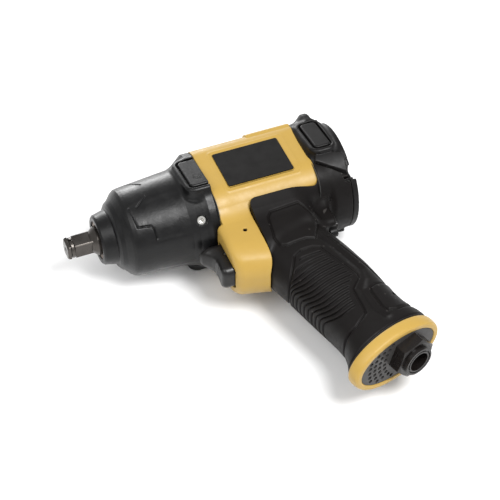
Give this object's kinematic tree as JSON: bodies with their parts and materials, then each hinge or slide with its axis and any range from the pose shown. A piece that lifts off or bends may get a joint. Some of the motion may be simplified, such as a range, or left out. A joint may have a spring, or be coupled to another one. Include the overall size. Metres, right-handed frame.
{
  "type": "impact wrench",
  "caption": "Air impact wrench with a square drive, twin-hammer clutch, vane motor, pistol grip, slide trigger, reverse lever and threaded air inlet.",
  "frame": {"origin": "centre of the square drive's tip, on the spindle axis", "axes": "+X rearward along the spindle, +Y to the top of the barrel with the handle toward -Y, +Z to the tool's left side, so the tool lies on its right side"},
  "size_m": [0.1668, 0.1824, 0.068],
  "materials": {
    "case_black": "satin black cast",
    "housing_yellow": "satin moulded",
    "overmold": "matt moulded",
    "cover_black": "satin moulded",
    "trigger_black": "satin moulded",
    "plate": "satin",
    "drive_steel": "phosphated and oiled",
    "rubber": "matt",
    "bronze": "sintered",
    "gasket_paper": "fibre sheet",
    "bright_steel": "polished",
    "black_steel": "black oxide",
    "machined_steel": "ground",
    "vane_resin": "resin",
    "brass": "turned",
    "felt": "felt"
  },
  "bodies": {
    "housing": {"hammer_case": "case_black", "anvil_bushing": "bronze", "hammer_case_gasket": "gasket_paper", "case_set_screw": "bright_steel", "motor_housing": "housing_yellow", "grip_overmold": "overmold", "name_plate": "plate", "rear_cover": "cover_black", "rear_gasket": "gasket_paper", "housing_bolts": "black_steel", "cylinder_liner": "machined_steel", "liner_dowel": "bright_steel", "front_end_plate": "machined_steel", "rear_end_plate": "machined_steel", "front_bearing_outer_race": "machined_steel", "rear_bearing_outer_race": "machined_steel", "trigger_bushing": "bronze", "bushing_pin": "bright_steel", "valve_seat": "brass", "valve_spring": "bright_steel", "inlet_screen": "bright_steel", "inlet_bushing": "black_steel", "inlet_o_ring": "rubber", "base_ring": "housing_yellow", "exhaust_muffler": "felt", "exhaust_grille": "cover_black", "detent_ball": "bright_steel", "detent_spring": "bright_steel"},
    "rotor": {"rotor": "machined_steel", "rotor_vanes": "vane_resin", "front_bearing_inner_race": "machined_steel", "rear_bearing_inner_race": "machined_steel", "hammer_cage": "machined_steel", "hammer_pins": "bright_steel"},
    "anvil": {"anvil": "drive_steel", "friction_ring": "drive_steel", "ring_o_ring": "rubber"},
    "front_hammer": {"front_hammer": "machined_steel"},
    "rear_hammer": {"rear_hammer": "machined_steel"},
    "front_balls": {"front_bearing_balls": "bright_steel", "front_bearing_cage": "machined_steel"},
    "rear_balls": {"rear_bearing_balls": "bright_steel", "rear_bearing_cage": "machined_steel"},
    "trigger": {"trigger": "trigger_black", "trigger_rod": "bright_steel", "trigger_roll_pin": "bright_steel"},
    "throttle_valve": {"throttle_valve": "bright_steel"},
    "reverse_lever": {"reverse_lever": "cover_black", "reverse_valve": "vane_resin", "lever_screw": "black_steel"}
  },
  "joints": [
    {"name": "rotor_spin", "type": "hinge", "parent": "housing", "child": "rotor", "pos_m": [0.118, 0, 0], "axis": [1, 0, 0], "continuous": true},
    {"name": "anvil_spin", "type": "hinge", "parent": "housing", "child": "anvil", "pos_m": [0.03, 0, 0], "axis": [1, 0, 0], "continuous": true},
    {"name": "front_hammer_rock", "type": "hinge", "parent": "rotor", "child": "front_hammer", "pos_m": [0.0495, 0, 0.0137], "axis": [1, 0, 0], "range_deg": [0, 8]},
    {"name": "rear_hammer_rock", "type": "hinge", "parent": "rotor", "child": "rear_hammer", "pos_m": [0.0615, 0, -0.0137], "axis": [1, 0, 0], "range_deg": [0, 8]},
    {"name": "front_balls_orbit", "type": "hinge", "parent": "housing", "child": "front_balls", "pos_m": [0.0876, 0, 0], "axis": [1, 0, 0], "continuous": true},
    {"name": "rear_balls_orbit", "type": "hinge", "parent": "housing", "child": "rear_balls", "pos_m": [0.146, 0, 0], "axis": [1, 0, 0], "continuous": true},
    {"name": "trigger_slide", "type": "slide", "parent": "housing", "child": "trigger", "axis": [1, 0, 0], "range_m": [0, 0.0045], "stiffness_N_per_m": 600, "springref_m": -0.002},
    {"name": "valve_tilt", "type": "hinge", "parent": "housing", "child": "throttle_valve", "pos_m": [0.11774, -0.06228, 0], "axis": [0, 0, -1], "range_deg": [0, 13], "deforming": ["valve_spring"]},
    {"name": "reverse_lever_turn", "type": "hinge", "parent": "housing", "child": "reverse_lever", "pos_m": [0.1375, -0.038, 0], "axis": [1, 0, 0], "range_deg": [-30, 30]}
  ],
  "couplings": [
    {"joint": "anvil_spin", "follows": "rotor_spin", "ratio": 1},
    {"joint": "front_balls_orbit", "follows": "rotor_spin", "ratio": 0.385},
    {"joint": "rear_balls_orbit", "follows": "rotor_spin", "ratio": 0.385},
    {"joint": "valve_tilt", "follows": "trigger_slide", "rad_per_m": 49.645}
  ]
}
